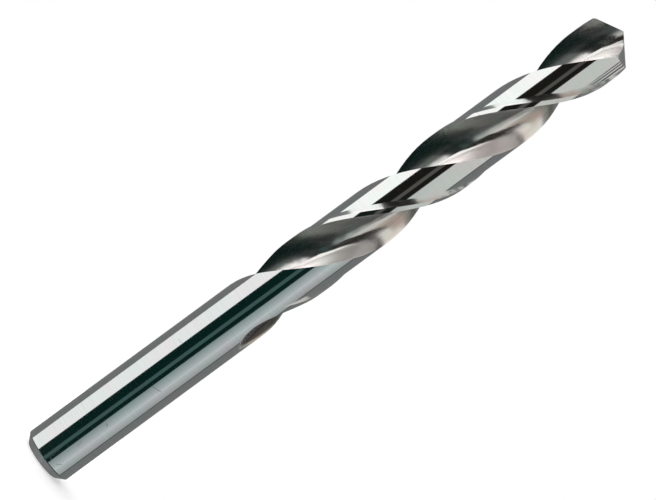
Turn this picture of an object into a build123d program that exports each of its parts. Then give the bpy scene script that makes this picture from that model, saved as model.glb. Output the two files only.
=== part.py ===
from build123d import *
from math import asin, atan, cos, degrees, radians, sin, sqrt, tan
import os

# Twist drill bit: jobber length, parallel shank, right-hand cutting, two flutes.
# It is one piece of steel, so it is one solid.
# Frame: Z is the drill's axis and points to the tip. The origin is the centre of the flat
# shank end. Lengths are in millimetres and angles in degrees.

# ---- Driving dimensions ---------------------------------------------------------------

# Blank
drill_diameter = 13.0       # over the two margins, the size the drill is sold by
overall_length = 151.0      # shank end to chisel edge
shank_diameter = 12.6
shank_chamfer = 1.65        # both along the axis and across it
shank_edge_radius = 0.35    # soft edges of the chamfer
neck_length = 6.0           # cone from the shank up to the drill diameter

# Flutes
flute_length = 104.0        # chisel edge to the far end of the run-out
helix_lead = 73.0           # length of one full turn: a helix of about 29 degrees
flute_span = 100.5          # from a leading edge to the heel across the flute
web_thickness = 1.9         # at the point
web_taper = 0.016           # growth of the web for each millimetre towards the shank
heel_lean = 8.0             # the heel wall opens this far from the radial direction
run_out_length = 25.0       # where the flute rises out of the blank
unwind_length = 10.0        # last stretch of the run-out, where the flute turns straight
leading_edge_angle = 44.6    # where the first leading edge stands at the overall length

# Lands
margin_width = 1.1          # guiding strip behind each leading edge, along the rim
body_clearance = 0.35       # the land behind the margin lies this much under it
step_hollow = 12.0          # radius of the hollow step from the margin down to the land
step_foot_slope = 4.0       # angle at which the step leaves the land

# Point
point_angle = 118.0
grinding_cone_angle = 60.0  # full angle of the cone that each flank is a part of
grinding_cone_reach = 12.4  # from the drill's axis to the cone's apex
flank_skew = 1.72           # the cone's offset past the lip, which gives the lip relief

# ---- Derived sizes --------------------------------------------------------------------

drill_radius = drill_diameter / 2
shank_radius = shank_diameter / 2
land_radius = drill_radius - body_clearance
half_web = web_thickness / 2
half_point = point_angle / 2
half_cone = grinding_cone_angle / 2
twist_rate = 360 / helix_lead
flute_end = overall_length - flute_length
run_out_start = flute_end + run_out_length
neck_start = flute_end + run_out_length / 2
corner_reach = sqrt(drill_radius**2 - half_web**2)      # along the lip to its outer corner
corner_angle = degrees(asin(half_web / drill_radius))
step_bend = 1 / step_hollow + 1 / land_radius           # of the step against the round land
foot_rise = tan(radians(step_foot_slope))
step_width = (sqrt(foot_rise**2 + 2 * body_clearance * step_bend) - foot_rise) / step_bend
tool_radius = drill_radius * 1.2                        # cutters reach this far outside
tool_crown = drill_radius * 1.6                         # and this far above the flute
station_turn = 20                                       # twist between cutter sections
lip_steps = 8                                           # stretches of the lip's curve


def polar(radius, angle):
    """Point of the XY plane at a radius and an angle."""
    return Vector(radius * cos(radians(angle)), radius * sin(radians(angle)))


# ---- Blank ----------------------------------------------------------------------------

def turned_bar():
    """Round bar with a chamfered shank, and the lands' size from the neck up."""
    flat_radius = shank_radius - shank_chamfer
    outline = Polyline(
        (0, 0, 0),
        (flat_radius, 0, 0),
        (shank_radius, 0, shank_chamfer),
        (shank_radius, 0, neck_start),
        (land_radius, 0, neck_start + neck_length),
        (land_radius, 0, overall_length),
        (0, 0, overall_length),
        close=True,
    )
    half_section = make_face(outline)
    chamfer_corners = half_section.vertices().filter_by_position(
        Axis.Z, -shank_edge_radius, shank_chamfer + shank_edge_radius
    ).filter_by_position(Axis.X, flat_radius / 2, drill_radius)
    half_section = fillet(chamfer_corners, shank_edge_radius)
    return revolve(half_section, Axis.Z)


# ---- Flutes ---------------------------------------------------------------------------
# Each lip is a straight line, half the web ahead of the axis and inclined by half the
# point angle. The flute's face is that line carried along the helix, so its section is
# found by screwing each point of the lip back to one height.

def lip_face_point(reach):
    """Point of the flute's section that the lip's point at this reach leaves."""
    height = (corner_reach - reach) / tan(radians(half_point))
    return Vector(reach, half_web).rotate(Axis.Z, -twist_rate * height - corner_angle)


def flute_profile():
    """Section of the flute cutter, with the leading edge on the X axis."""
    outer_reach = sqrt(tool_radius**2 - half_web**2)
    core_turn = -twist_rate * corner_reach / tan(radians(half_point)) - corner_angle
    core_tangent = Vector(-1, 0).rotate(Axis.Z, core_turn)
    lip_reaches = [outer_reach * (1 - step / lip_steps) for step in range(lip_steps + 1)]
    lip_face = Spline(*[lip_face_point(reach) for reach in lip_reaches])
    heel = polar(land_radius, flute_span)
    heel_direction = polar(1, flute_span + heel_lean)
    heel_outside = heel + heel_direction * (tool_radius - land_radius)
    heel_face = Spline(
        lip_face @ 1, heel, heel_outside, tangents=[core_tangent, heel_direction]
    )
    outside = ThreePointArc(
        heel_face @ 1, polar(tool_crown, flute_span / 2), lip_face @ 0
    )
    return make_face([lip_face, heel_face, outside])


def flute_turn(height):
    """Angle of the leading edge at a height; the last stretch turns straight."""
    turn = leading_edge_angle - twist_rate * (overall_length - height)
    straight = max(0, flute_end + unwind_length - height)
    return turn + twist_rate * straight**2 / (2 * unwind_length)


def flute_rise(height):
    """How far the cutter stands out of its depth at the point, at a height."""
    taper_rise = web_taper / 2 * (overall_length - height)
    end_rise = shank_radius - half_web - web_taper / 2 * flute_length
    climb = max(0, run_out_start - height) / run_out_length
    return taper_rise + end_rise * climb**2


def stations(low, high):
    """Heights from low to high, no more than one station turn apart."""
    count = int((high - low) * twist_rate / station_turn) + 1
    return [low + (high - low) * index / count for index in range(count + 1)]


def flute_cutter():
    """The space that one flute takes out of the blank."""
    profile = flute_profile()
    outward = polar(1, flute_span / 2)
    sections = []
    for height in stations(flute_end - half_web, overall_length + half_web):
        raised = Pos(outward * flute_rise(height)) * profile
        sections.append(Pos(0, 0, height) * Rot(0, 0, flute_turn(height)) * raised)
    return loft(sections)


# ---- Margins --------------------------------------------------------------------------
# Behind each leading edge a narrow strip stands up to the drill's full size and guides the
# drill in its hole. Behind the strip a hollow step leads down to the land.

def step_point(sweep):
    """Point of the hollow step, at a turn of its curve past its foot on the land."""
    foot_angle = -degrees((margin_width + step_width) / drill_radius)
    inward = foot_angle + 180 - step_foot_slope
    centre = polar(land_radius, foot_angle) - polar(step_hollow, inward)
    return centre + polar(step_hollow, inward - sweep)


def margin_profile():
    """Wedge that holds one margin, with the leading edge on the X axis."""
    step_sweep = degrees(step_width / step_hollow)
    step = ThreePointArc(
        step_point(-step_foot_slope / 2), step_point(step_sweep / 2), step_point(2 * step_sweep)
    )
    past_edge = flute_span / 3
    around = Polyline(
        step @ 1,
        polar(tool_radius, past_edge / 2),
        polar(tool_radius, past_edge),
        polar(land_radius - body_clearance, past_edge),
        polar(land_radius - body_clearance, -past_edge),
        step @ 0,
    )
    return make_face([step, around])


def leading_edge_shift(height):
    """Angle by which the risen flute moves its leading edge along the rim."""
    hook = radians(twist_rate) / tan(radians(half_point))
    face_angle = degrees(atan(corner_reach * hook / (1 - half_web * hook))) - corner_angle
    across_face = flute_rise(height) * sin(radians(flute_span / 2 - face_angle))
    return degrees(across_face / cos(radians(face_angle)) / drill_radius)


def margin_sleeve():
    """Round sleeve of the drill's full size, which rises out of the shank at the neck."""
    rise = drill_radius - shank_radius
    outline = Polyline(
        (0, 0, neck_start - neck_length),
        (shank_radius - rise, 0, neck_start - neck_length),
        (drill_radius, 0, neck_start + neck_length),
        (drill_radius, 0, overall_length),
        (0, 0, overall_length),
        close=True,
    )
    return revolve(make_face(outline), Axis.Z)


def margin():
    """One margin, with a root that reaches into the land."""
    profile = margin_profile()
    sections = []
    for height in stations(neck_start - 2 * neck_length, overall_length + half_web):
        turn = flute_turn(height) + leading_edge_shift(height)
        sections.append(Pos(0, 0, height) * Rot(0, 0, turn) * profile)
    return loft(sections) & margin_sleeve()


# ---- Point ----------------------------------------------------------------------------
# Each flank is part of a cone, as a drill is ground by swinging it about a slanted axis.
# The two cones meet in the chisel edge.

def flank_cone():
    """Inside of the cone of the first flank, with its lip along the X axis."""
    tilt = half_point - half_cone
    skew = half_web + flank_skew
    sin_tilt = sin(radians(tilt))
    cos_tilt = cos(radians(tilt))
    cos_cone = cos(radians(half_cone))
    a = cos_tilt**2 - cos_cone**2
    b = grinding_cone_reach * sin_tilt * cos_tilt
    c = (grinding_cone_reach * sin_tilt)**2 - cos_cone**2 * (grinding_cone_reach**2 + skew**2)
    apex_height = (-b + sqrt(b**2 - a * c)) / a
    length = 2 * overall_length
    cone = Cone(
        length * tan(radians(half_cone)), 0, length, align=(Align.CENTER, Align.CENTER, Align.MAX)
    )
    apex = Vector(-grinding_cone_reach, skew, overall_length + apex_height)
    return Pos(apex) * Rot(0, -tilt, 0) * cone


def ground_point(drill):
    """The drill with its two flanks, lips and chisel edge."""
    corner_height = overall_length - corner_reach / tan(radians(half_point))
    first_flank = Rot(0, 0, flute_turn(corner_height) - corner_angle) * flank_cone()
    return drill & first_flank & (half_turn * first_flank)


# ---- The drill ------------------------------------------------------------------------

half_turn = Rot(0, 0, 180)
guide = margin()
flute = flute_cutter()
drill = turned_bar() + guide + half_turn * guide
drill = drill - flute - half_turn * flute
drill = ground_point(drill)

os.makedirs("parts", exist_ok=True)
export_step(drill, "parts/twist_drill_bit.step")
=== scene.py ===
# %% [markdown]
# # A polished twist drill bit
#
# This lesson dresses a twist drill that arrives as one finished solid: a round shank, two
# flutes that wind round it, two lands with their margins, and a ground point. The shape
# needs nothing more. What is left for us is the finish of the steel, and the room that
# the steel mirrors, because polished metal has hardly any colour of its own.
#
# Everything is in metres. The drill stands on the end of its shank at the origin, with
# its axis along Z and its point up.

import math

import bpy
from mathutils import Matrix, Vector


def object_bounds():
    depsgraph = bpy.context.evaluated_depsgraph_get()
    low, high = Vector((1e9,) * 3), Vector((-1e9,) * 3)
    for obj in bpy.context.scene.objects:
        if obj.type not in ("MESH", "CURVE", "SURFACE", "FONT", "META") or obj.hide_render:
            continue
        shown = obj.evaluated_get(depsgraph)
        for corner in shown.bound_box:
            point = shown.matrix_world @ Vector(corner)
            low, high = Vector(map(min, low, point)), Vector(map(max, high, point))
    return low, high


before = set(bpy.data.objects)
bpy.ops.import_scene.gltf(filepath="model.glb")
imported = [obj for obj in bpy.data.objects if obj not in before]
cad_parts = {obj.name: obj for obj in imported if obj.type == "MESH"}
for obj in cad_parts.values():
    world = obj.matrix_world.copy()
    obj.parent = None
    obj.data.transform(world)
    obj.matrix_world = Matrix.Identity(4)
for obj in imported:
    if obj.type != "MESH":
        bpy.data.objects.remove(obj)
cad_low, cad_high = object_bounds()
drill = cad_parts["twist_drill_bit"]
drill_height = cad_high.z - cad_low.z
print("loaded", sorted(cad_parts), "height", round(drill_height, 4))

# %% [markdown]
# ## The sizes that the finish follows
#
# The grinder leaves other marks on the shank and lands than in the flutes, so the finish
# has to know where each of them is. We could paint that by hand on an unwrapped mesh, but
# on a drill it takes only a few numbers: the radius of the lands, the height at which the
# flutes run out, the height at which the point begins, and the lead, which is the length
# of one full turn of the helix.

# %% Sizes of the drill
drill_radius = 0.0065  # over the margins
land_radius = 0.00615  # of the lands, which lie a little under the margins
helix_lead = 0.073
flute_end = 0.047  # the lowest place that a flute reaches
point_base_height = 0.1468
print("turns of each flute:", round((drill_height - flute_end) / helix_lead, 2))

# %% [markdown]
# ## Camera
#
# A long lens, from more than two and a half times the drill's length away, keeps the two
# ends nearly the same width. The camera looks level at the middle of the drill and is
# rolled, so the upright drill runs across the picture from lower left to upper right.
# Rolling the camera moves nothing on the object, and is better than laying the drill down
# at an angle.

# %% Place the camera
camera_distance = 0.398
aim_height = 0.0742
lens_length = 104.35
sensor_size = 36.0
nearest_seen = 0.01
farthest_seen = 20
axis_slope = math.radians(36.30)
right_angle = math.radians(90)
aim = Vector((0, 0, aim_height))

camera_data = bpy.data.cameras.new("camera")
camera_data.lens = lens_length
camera_data.sensor_fit = "HORIZONTAL"
camera_data.sensor_width = sensor_size
camera_data.clip_start = nearest_seen
camera_data.clip_end = farthest_seen
camera = bpy.data.objects.new("camera", camera_data)
bpy.context.scene.collection.objects.link(camera)
level = Matrix.Rotation(right_angle, 4, "X")
roll = Matrix.Rotation(right_angle - axis_slope, 4, "Z")
place = Matrix.Translation(aim + Vector((0, -camera_distance, 0)))
camera.matrix_world = place @ level @ roll
bpy.context.scene.camera = camera
bpy.context.scene.view_settings.view_transform = "Standard"
print("camera at", [round(c, 3) for c in camera.matrix_world.translation])

# %% [markdown]
# ## Small helpers for node trees
#
# Node trees grow long when each node takes four lines. These helpers make a node, set or
# link its inputs and hand back its output, so a sum or a mask reads from left to right
# like the arithmetic it is. Each works in any tree, of a material or of a node group.

# %% Helpers: sums and masks
def feed(tree, socket, value):
    """Link an output to the socket, or set the socket to a plain value."""
    if isinstance(value, bpy.types.NodeSocket):
        tree.links.new(value, socket)
    else:
        socket.default_value = value


def calc(tree, operation, *values):
    """One Math node."""
    node = tree.nodes.new("ShaderNodeMath")
    node.operation = operation
    for socket, value in zip(node.inputs, values):
        feed(tree, socket, value)
    return node.outputs[0]


def product(tree, first, *others):
    """Masks or values multiplied from left to right."""
    for other in others:
        first = calc(tree, "MULTIPLY", first, other)
    return first


def rest_of(tree, mask):
    """One minus the mask."""
    return calc(tree, "SUBTRACT", 1.0, mask)


def between(tree, value, low, high, to_low=0.0, to_high=1.0):
    """A smooth step, from to_low at low to to_high at high."""
    node = tree.nodes.new("ShaderNodeMapRange")
    node.interpolation_type = "SMOOTHSTEP"
    settings = (
        ("Value", value), ("From Min", low), ("From Max", high), ("To Min", to_low), ("To Max", to_high),
    )
    for name, setting in settings:
        feed(tree, node.inputs[name], setting)
    return node.outputs["Result"]


def under(tree, value, low, high):
    """A mask that is full under low and has faded out at high."""
    return between(tree, value, low, high, 1.0, 0.0)


print("helpers for sums and masks ready")

# %% Helpers: vectors, and what is measured from the drill's axis
def join_vector(tree, x, y, z):
    node = tree.nodes.new("ShaderNodeCombineXYZ")
    for socket, value in zip(node.inputs, (x, y, z)):
        feed(tree, socket, value)
    return node.outputs[0]


def split_vector(tree, vector):
    node = tree.nodes.new("ShaderNodeSeparateXYZ")
    feed(tree, node.inputs[0], vector)
    return node.outputs[0], node.outputs[1], node.outputs[2]


def distance_from_axis(tree, x, y):
    squares = calc(tree, "ADD", calc(tree, "MULTIPLY", x, x), calc(tree, "MULTIPLY", y, y))
    return calc(tree, "SQRT", squares)


def straight_out(tree, x, y):
    """The level direction from the axis through a point, with a length of one."""
    node = tree.nodes.new("ShaderNodeVectorMath")
    node.operation = "NORMALIZE"
    feed(tree, node.inputs[0], join_vector(tree, x, y, 0.0))
    return node.outputs[0]


print("helpers for vectors ready")

# %% [markdown]
# ## Node groups
#
# An effect that is used in several places is best kept in a node group with named sockets:
# it is built once, and each place gives it other values. One helper makes an empty group
# with its sockets. The other puts a group into a tree and feeds it by name. A name in
# Python can't hold a space, so an underscore stands for it.

# %% Helpers: make a group and use a group
FLOAT = "NodeSocketFloat"
VECTOR = "NodeSocketVector"


def new_group(name, inputs, outputs):
    group = bpy.data.node_groups.new(name, "ShaderNodeTree")
    for label, kind, value in inputs:
        socket = group.interface.new_socket(label, in_out="INPUT", socket_type=kind)
        if value is not None:
            socket.default_value = value
    for label, kind in outputs:
        group.interface.new_socket(label, in_out="OUTPUT", socket_type=kind)
    return group, group.nodes.new("NodeGroupInput"), group.nodes.new("NodeGroupOutput")


def use_group(tree, group, **values):
    node = tree.nodes.new("ShaderNodeGroup")
    node.node_tree = group
    for label, value in values.items():
        feed(tree, node.inputs[label.replace("_", " ")], value)
    return node


print("helpers for groups ready")

# %% [markdown]
# ## Where on the drill a point is
#
# Every mark on a drill follows either the circle or the helix. One node group turns a
# position into four lengths: how far it is round the drill, how far it is round once the
# twist is taken out, how far out from the axis, and how high. Grind lines and scratches
# then use those in place of plain X, Y and Z. The angle counts from the camera's side, so
# the seam where it jumps lies at the back of the drill.

# %% Group: drill coordinates
coordinates, given, result = new_group(
    "drill coordinates",
    [("Position", VECTOR, None), ("Lead", FLOAT, helix_lead), ("Radius", FLOAT, drill_radius)],
    [("Round", FLOAT), ("Unwound", FLOAT), ("Out", FLOAT), ("Height", FLOAT)],
)
tree = coordinates
x, y, z = split_vector(tree, given.outputs["Position"])
angle = calc(tree, "ARCTAN2", x, calc(tree, "MULTIPLY", y, -1.0))
turns_up_to_here = calc(tree, "DIVIDE", z, given.outputs["Lead"])
twist = calc(tree, "MULTIPLY", turns_up_to_here, math.tau)
unwound = calc(tree, "WRAP", calc(tree, "SUBTRACT", angle, twist), math.pi, -math.pi)
feed(tree, result.inputs["Round"], calc(tree, "MULTIPLY", angle, given.outputs["Radius"]))
feed(tree, result.inputs["Unwound"], calc(tree, "MULTIPLY", unwound, given.outputs["Radius"]))
feed(tree, result.inputs["Out"], distance_from_axis(tree, x, y))
feed(tree, result.inputs["Height"], z)
print(coordinates.name, "has", len(tree.nodes), "nodes")

# %% [markdown]
# ## Which part of the drill a point lies on
#
# The lands, margins and shank face straight out. The walls of a flute face sideways or
# inward, and lie under the lands. The flanks of the point face up. So the height, the
# radius and the direction of the normal tell them apart, and nothing has to be painted by
# hand.
#
# A flute has two walls, and the helix tilts them. The wall that runs to the cutting lip
# looks down, and the heel wall across from it looks up, so the slope of the normal tells
# these two apart. A last mask keeps only a thin strip of the heel wall under the rim, where
# a painted highlight stands for the light that the edge of the heel catches.
#
# Each mask needs two limits, because it fades over a short stretch and doesn't end hard.

# %% Limits of the masks
point_starts = (point_base_height - 0.0012, point_base_height - 0.0008)
flank_slope = (0.25, 0.35)  # height of a flank's normal
wall_facing = (0.9, 0.96)  # a flute wall faces outward less than this
round_facing = (0.985, 0.995)  # a round surface faces outward more than this
flute_starts = (flute_end - 0.0008, flute_end)
land_depth = 0.0001  # this far under the rim there can still be a land
flute_depth = 0.0003  # and this far there is only a flute
lip_wall_slope = (-0.13, 0.03)  # height of the normal of the wall that looks down
web_core = (0.0006, 0.0022)  # radius at which the lip's wall gets its own finish
heel_edge_width = 0.0004
print("the point begins at", point_starts)

# %% Group: parts of the drill
parts_of_drill, given, result = new_group(
    "parts of the drill",
    [("Position", VECTOR, None), ("Normal", VECTOR, None), ("Rim", FLOAT, land_radius),
     ("Edge Width", FLOAT, heel_edge_width)],
    [("Flute", FLOAT), ("Lip Face", FLOAT), ("Flank", FLOAT), ("Edge", FLOAT), ("Round", FLOAT)],
)
tree = parts_of_drill
rim = given.outputs["Rim"]
x, y, z = split_vector(tree, given.outputs["Position"])
radius = distance_from_axis(tree, x, y)
normal_z = split_vector(tree, given.outputs["Normal"])[2]
dot_product = tree.nodes.new("ShaderNodeVectorMath")
dot_product.operation = "DOT_PRODUCT"
feed(tree, dot_product.inputs[0], straight_out(tree, x, y))
feed(tree, dot_product.inputs[1], given.outputs["Normal"])
facing = dot_product.outputs["Value"]

flank = product(tree, between(tree, z, *point_starts), between(tree, normal_z, *flank_slope))
feed(tree, result.inputs["Flank"], flank)
feed(tree, result.inputs["Round"], product(tree, between(tree, facing, *round_facing), rest_of(tree, flank)))
print(parts_of_drill.name, "has", len(tree.nodes), "nodes with flanks and round surfaces")

# %% Parts of the drill: the flutes and their walls
sideways = under(tree, facing, *wall_facing)
only_flute_below = calc(tree, "SUBTRACT", rim, flute_depth)
land_above = calc(tree, "SUBTRACT", rim, land_depth)
under_rim = under(tree, radius, only_flute_below, land_above)
flute = product(
    tree, calc(tree, "MAXIMUM", sideways, under_rim), between(tree, z, *flute_starts), rest_of(tree, flank),
)
looks_down = under(tree, normal_z, *lip_wall_slope)
near_rim = between(tree, radius, calc(tree, "SUBTRACT", rim, given.outputs["Edge Width"]), rim)
feed(tree, result.inputs["Flute"], flute)
feed(tree, result.inputs["Lip Face"], product(tree, flute, looks_down, between(tree, radius, *web_core)))
feed(tree, result.inputs["Edge"], product(tree, flute, near_rim, rest_of(tree, looks_down)))
print(parts_of_drill.name, "has", len(tree.nodes), "nodes with the flutes too")

# %% [markdown]
# ## A truly round surface
#
# The mesh of the drill is made of flat facets, and its normals are only blended from them.
# Near the edges of a land they lean by a few degrees, and a mirror doubles that, so bands
# that should run straight along the drill would lean too. A finer mesh isn't ours to make
# here, and on the round surfaces the true normal is known: it points straight out from the
# axis. This group puts it back there.
#
# A Mix node has sockets called A and B once for each kind of data, so its sockets are
# found by number.

# %% Group: round normal
MIX_VECTOR_A = 4
MIX_VECTOR_B = 5
MIX_VECTOR_RESULT = 1

round_normal, given, result = new_group(
    "round normal",
    [("Position", VECTOR, None), ("Normal", VECTOR, None), ("Round", FLOAT, 1.0)],
    [("Normal", VECTOR)],
)
tree = round_normal
x, y, _ = split_vector(tree, given.outputs["Position"])
blend = tree.nodes.new("ShaderNodeMix")
blend.data_type = "VECTOR"
feed(tree, blend.inputs["Factor"], given.outputs["Round"])
feed(tree, blend.inputs[MIX_VECTOR_A], given.outputs["Normal"])
feed(tree, blend.inputs[MIX_VECTOR_B], straight_out(tree, x, y))
feed(tree, result.inputs["Normal"], blend.outputs[MIX_VECTOR_RESULT])
print(round_normal.name, "has", len(tree.nodes), "nodes")

# %% [markdown]
# ## Grind lines
#
# A grinding wheel leaves fine parallel lines. They could be drawn in an image texture, but
# noise that is stretched far along the lines and left fine across them stays sharp from
# close by, and never repeats. The shank and lands are ground round the drill and the
# flutes along it, so the group asks only for the two lengths.

# %% Group: grind lines
def noise(tree, vector, detail=2.0, roughness=0.5):
    """Noise with one lump to each unit of the vector."""
    node = tree.nodes.new("ShaderNodeTexNoise")
    node.inputs["Scale"].default_value = 1.0
    node.inputs["Detail"].default_value = detail
    node.inputs["Roughness"].default_value = roughness
    feed(tree, node.inputs["Vector"], vector)
    return node.outputs["Fac"]


grind_lines, given, result = new_group(
    "grind lines",
    [("Along", FLOAT, 0.0), ("Across", FLOAT, 0.0), ("Line Width", FLOAT, 0.0001),
     ("Line Length", FLOAT, 0.02), ("Seed", FLOAT, 0.0)],
    [("Tone", FLOAT)],
)
tree = grind_lines
along = calc(tree, "DIVIDE", given.outputs["Along"], given.outputs["Line Length"])
across = calc(tree, "DIVIDE", given.outputs["Across"], given.outputs["Line Width"])
lines = noise(tree, join_vector(tree, along, across, given.outputs["Seed"]), detail=3.0)
feed(tree, result.inputs["Tone"], lines)
print(grind_lines.name, "has", len(tree.nodes), "nodes")

# %% [markdown]
# ## Scratches and patches
#
# A drill that has lain in a drawer carries a few thin scratches at odd angles, and soft
# patches where it has been handled. Stretched noise gives a scratch where it passes through
# its middle value, which is a thin curved line, and a second noise keeps only short
# stretches of it. The second noise is handed out too, for the patches.

# %% Group: scratches
slant_round = 0.9  # how much a scratch leans round the drill
slant_up = 0.35  # and how much along it
scratch_stretch = 0.25
noise_middle = 0.5
patch_seed_step = 7.3  # moves the second noise away from the first
patch_limit = 0.75  # with a share of 0, scratches show where the second noise is above this
limit_drop = 0.5  # and with a share of 1, this much lower
patch_fade = 0.03

scratches, given, result = new_group(
    "scratches",
    [("Round", FLOAT, 0.0), ("Height", FLOAT, 0.0), ("Spacing", FLOAT, 0.003),
     ("Width", FLOAT, 0.02), ("Share", FLOAT, 0.3), ("Seed", FLOAT, 0.0)],
    [("Mask", FLOAT), ("Patches", FLOAT)],
)
tree = scratches
seed = given.outputs["Seed"]
u = calc(tree, "DIVIDE", given.outputs["Round"], given.outputs["Spacing"])
v = calc(tree, "DIVIDE", given.outputs["Height"], given.outputs["Spacing"])
slanted = calc(tree, "ADD", calc(tree, "MULTIPLY", u, slant_round), calc(tree, "MULTIPLY", v, slant_up))
stretched = calc(tree, "MULTIPLY", calc(tree, "SUBTRACT", v, u), scratch_stretch)
wander = noise(tree, join_vector(tree, slanted, stretched, seed), detail=0.0)
distance = calc(tree, "ABSOLUTE", calc(tree, "SUBTRACT", wander, noise_middle))
line = under(tree, distance, 0.0, given.outputs["Width"])
patches = noise(tree, join_vector(tree, u, v, calc(tree, "ADD", seed, patch_seed_step)), detail=2.0)
limit = calc(tree, "SUBTRACT", patch_limit, calc(tree, "MULTIPLY", given.outputs["Share"], limit_drop))
kept = between(tree, patches, limit, calc(tree, "ADD", limit, patch_fade))
feed(tree, result.inputs["Mask"], product(tree, line, kept))
feed(tree, result.inputs["Patches"], patches)
print(scratches.name, "has", len(tree.nodes), "nodes")

# %% [markdown]
# ## One single mark
#
# Noise puts scratches anywhere. A nick that belongs in one place needs a group of its own:
# it measures how far a point is along and aside of one short sloping line, and gives a
# mask that is full on the line and fades out beside it and at its ends.

# %% Group: single mark
end_fade_from = 0.7  # share of the half length at which the ends begin to fade

single_mark, given, result = new_group(
    "single mark",
    [("Round", FLOAT, 0.0), ("Height", FLOAT, 0.0), ("At Round", FLOAT, 0.0), ("At Height", FLOAT, 0.0),
     ("Slope", FLOAT, 0.0), ("Length", FLOAT, 0.001), ("Width", FLOAT, 0.0001)],
    [("Mask", FLOAT)],
)
tree = single_mark
right = calc(tree, "SUBTRACT", given.outputs["Round"], given.outputs["At Round"])
above = calc(tree, "SUBTRACT", given.outputs["Height"], given.outputs["At Height"])
lean = calc(tree, "COSINE", given.outputs["Slope"])
rise = calc(tree, "SINE", given.outputs["Slope"])
along = calc(tree, "ADD", calc(tree, "MULTIPLY", right, lean), calc(tree, "MULTIPLY", above, rise))
aside = calc(tree, "SUBTRACT", calc(tree, "MULTIPLY", above, lean), calc(tree, "MULTIPLY", right, rise))
half_length = calc(tree, "MULTIPLY", given.outputs["Length"], 0.5)
fade_start = calc(tree, "MULTIPLY", half_length, end_fade_from)
within_ends = under(tree, calc(tree, "ABSOLUTE", along), fade_start, half_length)
within_width = under(tree, calc(tree, "ABSOLUTE", aside), 0.0, given.outputs["Width"])
feed(tree, result.inputs["Mask"], product(tree, within_ends, within_width))
print(single_mark.name, "has", len(tree.nodes), "nodes")

# %% [markdown]
# ## Steel
#
# All of the drill is one piece of tool steel, so it gets one material, and the masks choose
# between its finishes. The lands and the shank are finely ground, the flutes are duller and
# a little warmer, and the edge of the heel gets a painted highlight, while the wall of the lip
# and the end of each flute get painted shade. The Principled shader stays here in the
# material. The groups only hand it colours, roughness and heights.
#
# The object's own coordinates are used, and not the position in the world, so the finish
# stays on the drill if the drill is moved.

# %% Material: ground tool steel, and its masks
steel_ior = 2.5

steel = bpy.data.materials.new("ground_tool_steel")
steel.use_nodes = True
tree = steel.node_tree
shader = tree.nodes["Principled BSDF"]
shader.inputs["IOR"].default_value = steel_ior
surface_normal = tree.nodes.new("ShaderNodeNewGeometry").outputs["Normal"]
object_position = tree.nodes.new("ShaderNodeTexCoord").outputs["Object"]
where = use_group(tree, coordinates, Position=object_position)
round_place = where.outputs["Round"]
height_place = where.outputs["Height"]
parts = use_group(tree, parts_of_drill, Position=object_position, Normal=surface_normal)
flute, lip_face, flank, edge, round_part = (
    parts.outputs[name] for name in ("Flute", "Lip Face", "Flank", "Edge", "Round")
)
outside_flute = rest_of(tree, flute)
print("mask outputs:", [o.name for o in parts.outputs])

# %% Grind lines on the round surfaces and in the flutes
round_lines = use_group(
    tree, grind_lines, Along=round_place, Across=height_place,
    Line_Width=0.00012, Line_Length=0.03, Seed=1.0,
)
flute_lines = use_group(
    tree, grind_lines, Along=height_place,
    Across=calc(tree, "ADD", where.outputs["Unwound"], where.outputs["Out"]),
    Line_Width=0.00015, Line_Length=0.05, Seed=5.0,
)
tone = calc(
    tree, "ADD", product(tree, round_lines.outputs["Tone"], outside_flute),
    product(tree, flute_lines.outputs["Tone"], flute),
)
print("grind lines linked")

# %% [markdown]
# ## Wear
#
# The wear is light: a few faint scratches anywhere, and five short nicks and scratches
# that are each placed one by one. Each row of the table below is one of them: where its
# middle lies round the drill and in height, its slope in radians, its length and its
# width. All marks stay off the flute walls, where one would stand out as a long bright
# line.

# %% Scratches and nicks on the steel
single_marks = (
    (0.0024, 0.02875, 0.30, 0.0026, 0.00016),
    (0.0022, 0.0161, -0.50, 0.0008, 0.00022),
    (0.0030, 0.0033, 0.80, 0.0014, 0.00012),
    (0.0012, 0.0025, -0.70, 0.0010, 0.00010),
    (-0.0032, 0.0385, 0.15, 0.0016, 0.00010),
)

marks = use_group(
    tree, scratches, Round=round_place, Height=height_place,
    Spacing=0.005, Width=0.008, Share=0.22, Seed=2.0,
)
all_marks = marks.outputs["Mask"]
for at_round, at_height, slope, length, width in single_marks:
    mark = use_group(
        tree, single_mark, Round=round_place, Height=height_place,
        At_Round=at_round, At_Height=at_height, Slope=slope, Length=length, Width=width,
    )
    all_marks = calc(tree, "MAXIMUM", all_marks, mark.outputs["Mask"])
all_marks = product(tree, all_marks, outside_flute)
print("scratches and", len(single_marks), "single marks linked")

# %% [markdown]
# ## Colour of the steel
#
# The Base Color of a metal tints what it mirrors, so small steps are enough: grind lines
# that are a little lighter or darker, and a very faint teal and lilac mottling.
#
# Two parts are much darker than that, and both are painted shade, a choice for the look of
# this drill and not a property of steel. The wall that runs to the lip has to come out nearly
# black, darker than the room makes it, so a dark colour is painted on it everywhere except
# in mirrors, as a painted dark reflection. And painted shade darkens the flute where it runs
# out into the shank.
#
# Each Mix node lays one colour over the one before it, so their order matters: the marks
# come after the tints, and the painted highlight on the edge of the heel comes last, over everything.

# %% Helpers: mix two colours
MIX_COLOUR_A = 6
MIX_COLOUR_B = 7
MIX_COLOUR_RESULT = 2


def mix_colour(tree, factor, first, second, kind="MIX"):
    node = tree.nodes.new("ShaderNodeMix")
    node.data_type = "RGBA"
    node.blend_type = kind
    feed(tree, node.inputs["Factor"], factor)
    feed(tree, node.inputs[MIX_COLOUR_A], first)
    feed(tree, node.inputs[MIX_COLOUR_B], second)
    return node.outputs[MIX_COLOUR_RESULT]


def shade_colour(tree, colour, shade):
    """The colour, made lighter or darker by one value."""
    return mix_colour(tree, 1.0, colour, join_vector(tree, shade, shade, shade), kind="MULTIPLY")


print("helpers for colours ready")

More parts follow.
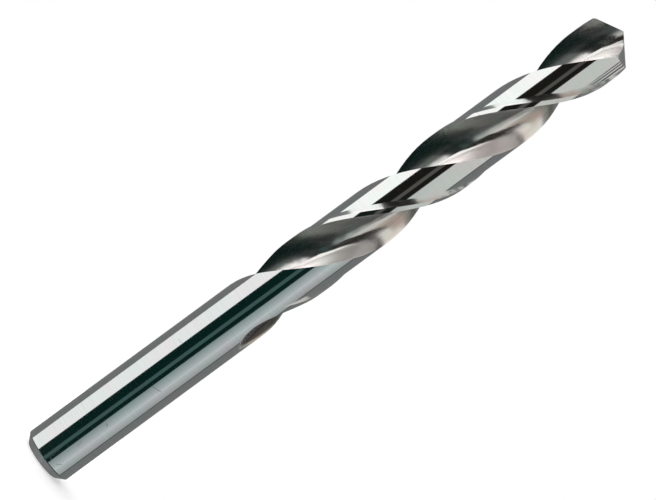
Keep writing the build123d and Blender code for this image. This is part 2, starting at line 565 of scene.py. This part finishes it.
# %% Colours and tones
ground_colour = (0.80, 0.81, 0.805, 1.0)
flute_colour = (0.84, 0.82, 0.80, 1.0)
# painted dark reflection on the wall of the lip
lip_face_painted_dark = (0.14, 0.15, 0.14, 1.0)
# painted highlight on the edge of the heel
heel_highlight_colour = (1.0, 0.99, 0.97, 1.0)
scratch_colour = (0.45, 0.45, 0.44, 1.0)
teal_tint = (0.95, 1.0, 0.985, 1.0)
lilac_tint = (1.0, 0.97, 0.985, 1.0)
tone_limits = (0.3, 0.7)
line_shades = (0.9, 1.03)  # shade of the darkest and the lightest grind lines
tint_limits = (0.38, 0.62)
# painted shade where the flute runs out into the shank
run_out_heights = (0.052, 0.063)
run_out_shades = (0.25, 1.0)
print("ground", ground_colour[:3], "flute", flute_colour[:3], "wall of the lip", lip_face_painted_dark[:3])

# %% [markdown]
# ## Walls that mirror each other
#
# The two walls of a flute face each other, so each shows the other, and the room a second
# time. Between two mirrors so strongly curved, that second image of the room shrinks to
# hard dots and lines, which spoil the soft look of a ground flute. More roughness would
# dull the first image too.
#
# So the shader asks which ray is looking. A ray from the camera sees plain polished steel.
# A ray that has already been mirrored by steel, which is a glossy ray, sees a flute wall
# as a soft pale film instead. This isn't how light behaves. It is a trick for the look.
# Light Path has to stay in the material, since an export can't read it inside a group.

# %% Link the colours
film_colour = (1.0, 0.94, 0.915, 1.0)

already_mirrored = tree.nodes.new("ShaderNodeLightPath").outputs["Is Glossy Ray"]
first_look = rest_of(tree, already_mirrored)
film = product(tree, flute, already_mirrored)

colour = mix_colour(tree, flute, ground_colour, flute_colour)
# Painted dark reflection on the wall of the lip, everywhere except in mirrors.
colour = mix_colour(tree, product(tree, lip_face, first_look), colour, lip_face_painted_dark)
colour = shade_colour(tree, colour, between(tree, tone, *tone_limits, *line_shades))
# Painted shade where the flute runs out into the shank.
run_out_shade = between(tree, height_place, *run_out_heights, *run_out_shades)
colour = shade_colour(tree, colour, calc(tree, "MAXIMUM", run_out_shade, outside_flute))
tint = mix_colour(tree, between(tree, marks.outputs["Patches"], *tint_limits), teal_tint, lilac_tint)
colour = mix_colour(tree, 1.0, colour, tint, kind="MULTIPLY")
colour = mix_colour(tree, all_marks, colour, scratch_colour)
colour = mix_colour(tree, film, colour, film_colour)
# Painted highlight on the edge of the heel, over everything.
colour = mix_colour(tree, edge, colour, heel_highlight_colour)
feed(tree, shader.inputs["Base Color"], colour)
feed(tree, shader.inputs["Metallic"], rest_of(tree, film))
print("colours linked")

# %% [markdown]
# ## Roughness of the steel
#
# Roughness decides how sharp the mirrored room is. The ground surfaces are nearly mirrors,
# so the room shows on them as clean bands. The flute walls and the flanks of the point are
# duller, which turns the same bands into soft streaks. What is neither round, nor flute,
# nor flank is the hollow step beside each margin, and the chamfer and end of the shank. The
# step is so narrow that a sharp mirror there turns thin lines into a row of dashes, so all
# of these are duller too.
#
# The finishes are blended by adding the difference between two of them times a mask.

# %% Link the roughness
ground_roughness = 0.07
flute_roughness = 0.22
lip_face_roughness = 0.27
flank_roughness = 0.20
step_roughness = 0.20
line_roughness = 0.06  # from the smoothest grind lines to the roughest
mark_roughness = 0.25  # added on a scratch
middle_tone = 0.5


def add_where(tree, value, mask, amount):
    """The value, raised by the amount where the mask is full."""
    return calc(tree, "ADD", value, calc(tree, "MULTIPLY", mask, amount))


step = calc(tree, "SUBTRACT", rest_of(tree, round_part), calc(tree, "MAXIMUM", flute, flank))
step = calc(tree, "MAXIMUM", step, 0.0)
roughness = add_where(tree, ground_roughness, flute, flute_roughness - ground_roughness)
roughness = add_where(tree, roughness, lip_face, lip_face_roughness - flute_roughness)
roughness = add_where(tree, roughness, flank, flank_roughness - ground_roughness)
roughness = add_where(tree, roughness, step, step_roughness - ground_roughness)
roughness = add_where(tree, roughness, calc(tree, "SUBTRACT", tone, middle_tone), line_roughness)
roughness = add_where(tree, roughness, all_marks, mark_roughness)
feed(tree, shader.inputs["Roughness"], roughness)
print("roughness", ground_roughness, "on the ground surfaces,", lip_face_roughness, "on the wall of the lip")

# %% [markdown]
# ## Height of the grind lines
#
# Grind lines are far too fine to model, so a Bump node leans the normal by a hair where
# their tone changes. It starts from the true round normal and not from the mesh's own.

# %% Link the normal, and put the steel on the drill
bump_strength = 0.02
bump_distance = 0.00005

true_normal = use_group(
    tree, round_normal, Position=object_position, Normal=surface_normal, Round=round_part,
)
bump = tree.nodes.new("ShaderNodeBump")
bump.inputs["Strength"].default_value = bump_strength
bump.inputs["Distance"].default_value = bump_distance
feed(tree, bump.inputs["Normal"], true_normal.outputs["Normal"])
feed(tree, bump.inputs["Height"], tone)
feed(tree, shader.inputs["Normal"], bump.outputs["Normal"])
for material_slot in drill.material_slots:
    material_slot.material = steel
print("steel on", drill.name, "slots", len(drill.material_slots))

# %% [markdown]
# ## The room that the steel mirrors
#
# Polished steel looks like the room. On the round shank each direction of the room shows
# as one straight band, and in the twisted flutes the same room is wound up into soft
# streaks. An image wrapped round the scene could do that, but then nothing in it could be
# moved by itself. So the room is white, and holds a few curved cards: dark ones on the
# camera's side that draw the black band, pale ones to the right, gray ones behind, and
# others above and below for the flutes to pick up.
#
# A card is a part of a large ball round the drill, given by two angles round the drill
# and two angles up from level. It only has to be mirrored, so it is hidden from the camera
# and from diffuse rays. Its edges fade out, so streaks end softly, and one node group makes
# that fade for every card.

# %% Group: soft card edge
soft_edge, given, result = new_group(
    "soft card edge",
    [("Place", VECTOR, None), ("Fade Across", FLOAT, 0.02), ("Fade Up", FLOAT, 0.02)],
    [("Mask", FLOAT)],
)
tree = soft_edge
across, up, _ = split_vector(tree, given.outputs["Place"])
from_sides = calc(tree, "MINIMUM", across, rest_of(tree, across))
from_ends = calc(tree, "MINIMUM", up, rest_of(tree, up))
feed(tree, result.inputs["Mask"], product(
    tree, between(tree, from_sides, 0.0, given.outputs["Fade Across"]),
    between(tree, from_ends, 0.0, given.outputs["Fade Up"]),
))
print(soft_edge.name, "has", len(tree.nodes), "nodes")

# %% [markdown]
# ## The paint and the shape of a card
#
# A card glows with its own colour, so no lamp has to be aimed at it, and its brightness is
# exactly the value that the steel mirrors. Its paint runs from a first colour on its left
# side to a last colour on its right, and towards its edges it turns clear.
#
# The sheet is a grid of points on the ball. Each point also keeps its place on the card,
# from 0 to 1 both ways, as its UV, which is what the paint's fade is measured by.

# %% Helper: the paint of a card
def card_paint(name, colours, fades):
    material = bpy.data.materials.new(name)
    material.use_nodes = True
    tree = material.node_tree
    tree.nodes.remove(tree.nodes["Principled BSDF"])
    place = tree.nodes.new("ShaderNodeTexCoord").outputs["UV"]
    edge_fade = use_group(tree, soft_edge, Place=place, Fade_Across=fades[0], Fade_Up=fades[1])
    first, last = ((*colour, 1.0) for colour in colours)
    emission = tree.nodes.new("ShaderNodeEmission")
    feed(tree, emission.inputs["Color"], mix_colour(tree, split_vector(tree, place)[0], first, last))
    clear = tree.nodes.new("ShaderNodeBsdfTransparent")
    blend = tree.nodes.new("ShaderNodeMixShader")
    feed(tree, blend.inputs[0], edge_fade.outputs["Mask"])
    feed(tree, blend.inputs[1], clear.outputs[0])
    feed(tree, blend.inputs[2], emission.outputs[0])
    feed(tree, tree.nodes["Material Output"].inputs["Surface"], blend.outputs[0])
    return material


print("paint ready")

# %% Helper: the shape of a card
room_centre = aim
card_step = 4.0  # degrees from one row of points to the next, or a little less


def row_angle(limits, row, count):
    """The angle of one row of points, in radians."""
    return math.radians(limits[0] + (limits[1] - limits[0]) * row / count)


def card_sheet(name, turns, rises, reach):
    """A grid on the ball, with each point's place on the card as its UV."""
    across_count = max(2, math.ceil((turns[1] - turns[0]) / card_step))
    up_count = max(2, math.ceil((rises[1] - rises[0]) / card_step))
    points, places, faces = [], [], []
    for i in range(across_count + 1):
        turn = row_angle(turns, i, across_count)
        for j in range(up_count + 1):
            rise = row_angle(rises, j, up_count)
            towards = Vector((
                math.sin(turn) * math.cos(rise), -math.cos(turn) * math.cos(rise), math.sin(rise),
            ))
            points.append(room_centre + towards * reach)
            places.append((i / across_count, j / up_count))
    row = up_count + 1
    for i in range(across_count):
        for j in range(up_count):
            corner = i * row + j
            faces.append((corner, corner + row, corner + row + 1, corner + 1))
    mesh = bpy.data.meshes.new(name)
    mesh.from_pydata(points, [], faces)
    layer = mesh.uv_layers.new(name="place")
    for loop in mesh.loops:
        layer.data[loop.index].uv = places[loop.vertex_index]
    return mesh


print("rows of points at most", card_step, "degrees apart")

# %% Helper: a card
def card(name, turns, rises, colours, soft=(2.0, 2.0), reach=2.5):
    """One card of the room, seen in mirrors only.

    Turns are in degrees from the camera's side towards +X, rises in degrees above level.
    Soft is how many degrees fade out at the sides and at the ends. Reach is the distance
    from the drill, so of two cards that overlap, the one with the smaller reach shows.
    """
    mesh = card_sheet(name, turns, rises, reach)
    fades = (soft[0] / (turns[1] - turns[0]), soft[1] / (rises[1] - rises[0]))
    mesh.materials.append(card_paint(name, colours, fades))
    sheet = bpy.data.objects.new(name, mesh)
    sheet.visible_camera = False
    sheet.visible_diffuse = False
    bpy.context.scene.collection.objects.link(sheet)
    print("card", name, "turns", turns, "rises", rises)
    return sheet


print("helper for cards ready")

# %% [markdown]
# ## Cards at the height of the drill
#
# These draw the bands of the shank and the lands, from left to right: a gray edge, a broad
# bright band, a black band with a slate line in it, a broad pale band, and a gray edge
# again. The bright card is a little stronger than white, because the steel gives back only
# about four fifths of what it mirrors.
#
# The black, slate and pale cards come in two heights. The camera looks down at the shank,
# which so mirrors what is below level, and up at the lands near the point, which mirror
# what is above. Below level these cards are greenish or bluish, and above it warmer.

# %% Place the cards at the height of the drill
black_green = (0.003, 0.017, 0.015)
black_warm = (0.012, 0.011, 0.009)
slate = (0.055, 0.110, 0.105)
warm_slate = (0.10, 0.095, 0.085)
gray = (0.19, 0.195, 0.195)
gray_line = (0.10, 0.105, 0.105)
pale_teal = (0.23, 0.31, 0.305)
pale = (0.56, 0.60, 0.61)
pale_end = (0.36, 0.37, 0.37)
upper_pale = (0.66, 0.66, 0.63)
bright = (1.2, 1.19, 1.17)

card("bright_card", (-112, -30), (-3, 32), (bright, bright), soft=(4, 5), reach=2.65)
card("left_back_card", (-181, -101), (-70, 60), (gray, gray), soft=(1, 6))
card("right_back_card", (97, 181), (-70, 60), (gray, gray), soft=(1, 6))
card("line_card", (95, 102), (-70, 60), (gray_line, gray_line), soft=(2, 6), reach=2.45)
card("pale_card_near", (20, 60), (-16, 22), (pale_teal, pale), soft=(1.5, 4))
card("pale_card_far", (60, 97), (-16, 22), (pale, pale_end), soft=(0.05, 4))
card("pale_card_upper", (22, 97), (-1, 24), (upper_pale, upper_pale), soft=(1.5, 6), reach=2.45)
card("dark_card_above", (-43, 24), (-6, 38), (black_warm, black_warm), soft=(1.5, 3), reach=2.4)
card("dark_card_below", (-43, 22), (-17, 3), (black_green, black_green), soft=(1.5, 3), reach=2.38)
card("slate_card_above", (-9, 6), (-6, 14), (warm_slate, warm_slate), soft=(2, 4), reach=2.32)
card("slate_card_below", (-9, 6), (-24, 3), (slate, slate), soft=(2, 4), reach=2.3)

# %% [markdown]
# ## Slats
#
# The land beside the point shows a few thin lines, as from a blind or a shelf somewhere in
# the room. Three dark slats on a light backing give them. They lie so high that only the
# top of the drill mirrors them, since the direction that a surface mirrors from the camera
# rises with its height.

# %% Place the slats, high on the right
slat_light = (0.62, 0.62, 0.60)
slat_dark = (0.03, 0.03, 0.03)
slat_rises = (10.4, 20)
slat_turns = ((89, 95), (102, 109), (119, 130))

card("slat_backing", (88, 150), slat_rises, (slat_light, slat_light), soft=(2, 1), reach=2.3)
for number, turns in enumerate(slat_turns, start=1):
    card(f"slat_{number}", turns, slat_rises, (slat_dark, slat_dark), soft=(1, 1), reach=2.25)
print(len(slat_turns), "slats")

# %% [markdown]
# ## Cards below and above
#
# A flute wall tips far over, so it mirrors what is low down or high up. The low cards make
# its dark green and black parts, and the beige, olive and pale ones above make its warm
# ends. The card right under the drill is for the chamfer of the shank, which looks down.
#
# One of them, the flag, works the other way round. It is hidden from mirrors and seen by
# diffuse rays, so it keeps part of the soft light from the right side of the drill, and
# the pale film in the flutes comes out darker on that side.

# %% Place the cards below and above
low_green = (0.011, 0.056, 0.050)
low_gray = (0.10, 0.10, 0.098)
under_gray = (0.22, 0.225, 0.225)
beige = (0.42, 0.34, 0.29)
olive_gray = (0.24, 0.25, 0.22)
deep_olive = (0.09, 0.092, 0.078)
high_pale = (0.86, 0.80, 0.74)
flag_dark = (0.02, 0.02, 0.02)

card("low_green_card", (-125, 24), (-80, -16), (low_green, low_green), soft=(8, 5), reach=2.2)
card("low_dark_card", (10, 112), (-80, -30), (low_green, low_green), soft=(8, 8), reach=2.2)
card("low_gray_card", (16, 112), (-40, -13), (low_gray, low_gray), soft=(8, 4), reach=2.15)
card("under_card", (-184, 184), (-98, -54), (under_gray, under_gray), soft=(1, 8), reach=2.0)
card("beige_card", (17, 66), (18, 50), (beige, beige), soft=(8, 6), reach=2.05)
card("olive_card", (56, 116), (17, 66), (olive_gray, olive_gray), soft=(8, 5), reach=2.58)
card("high_pale_card", (-16, 50), (37, 80), (high_pale, high_pale), soft=(8, 5), reach=2.1)
card("far_olive_card", (76, 128), (19, 60), (deep_olive, deep_olive), soft=(10, 6), reach=2.56)
light_flag = card("light_flag", (-30, 178), (-30, 85), (flag_dark, flag_dark), soft=(25, 10), reach=2.7)
light_flag.visible_diffuse = True
light_flag.visible_glossy = False
card("high_dark_card", (-75, -10), (24, 80), (black_warm, black_warm), soft=(8, 8), reach=2.1)
print("the flag is mirrored:", light_flag.visible_glossy)

# %% [markdown]
# ## Surroundings
#
# The world is plain white. To the camera and in mirrors it has a strength of one, which
# renders as pure white. For the soft light that falls on the floor and on the film in the
# flutes it is stronger, which lifts both. A Light Path node tells the two apart.

# %% World
room_light = 2.4
white = (1.0, 1.0, 1.0, 1.0)


def seen_directly(tree):
    """One for the camera, in mirrors and through clear surfaces, and zero for soft light."""
    light_path = tree.nodes.new("ShaderNodeLightPath")
    seen = calc(tree, "MAXIMUM", light_path.outputs["Is Camera Ray"], light_path.outputs["Is Glossy Ray"])
    return calc(tree, "MAXIMUM", seen, light_path.outputs["Is Transmission Ray"])


world = bpy.data.worlds.new("studio")
bpy.context.scene.world = world
world.use_nodes = True
tree = world.node_tree
background = tree.nodes["Background"]
background.inputs["Color"].default_value = white
background_strength = add_where(tree, room_light, seen_directly(tree), 1.0 - room_light)
feed(tree, background.inputs["Strength"], background_strength)
print("world strength", room_light, "and 1 where it is seen")

# %% [markdown]
# ## Floor
#
# The drill stands on a round board. A board that is only lit comes out slightly gray and
# shows its edge against the white room, so it glows a little too, enough to reach white
# and still let the drill's soft shadow through. It is left out of the mirrors, because the
# shank would show it, and the long bands would be cut short at their lower end.

# %% Place the floor
floor_reach = 0.11
floor_rim_points = 96
floor_gray = (0.50, 0.50, 0.50, 1.0)
floor_roughness = 0.8
floor_glow = 0.55

floor_rim = []
for i in range(floor_rim_points):
    turn = math.tau * i / floor_rim_points
    floor_rim.append((floor_reach * math.cos(turn), floor_reach * math.sin(turn), 0))
floor_mesh = bpy.data.meshes.new("floor")
floor_mesh.from_pydata(floor_rim, [], [tuple(range(floor_rim_points))])
floor = bpy.data.objects.new("floor", floor_mesh)
bpy.context.scene.collection.objects.link(floor)
floor.visible_glossy = False
print("floor of", floor_reach * 2, "m across")

# %% Paint the floor
floor_paint = bpy.data.materials.new("floor_paint")
floor_paint.use_nodes = True
tree = floor_paint.node_tree
shader = tree.nodes["Principled BSDF"]
shader.inputs["Base Color"].default_value = floor_gray
shader.inputs["Roughness"].default_value = floor_roughness
shader.inputs["Emission Color"].default_value = white
feed(tree, shader.inputs["Emission Strength"], product(tree, seen_directly(tree), floor_glow))
floor.data.materials.append(floor_paint)
print("floor paint glows by", floor_glow)
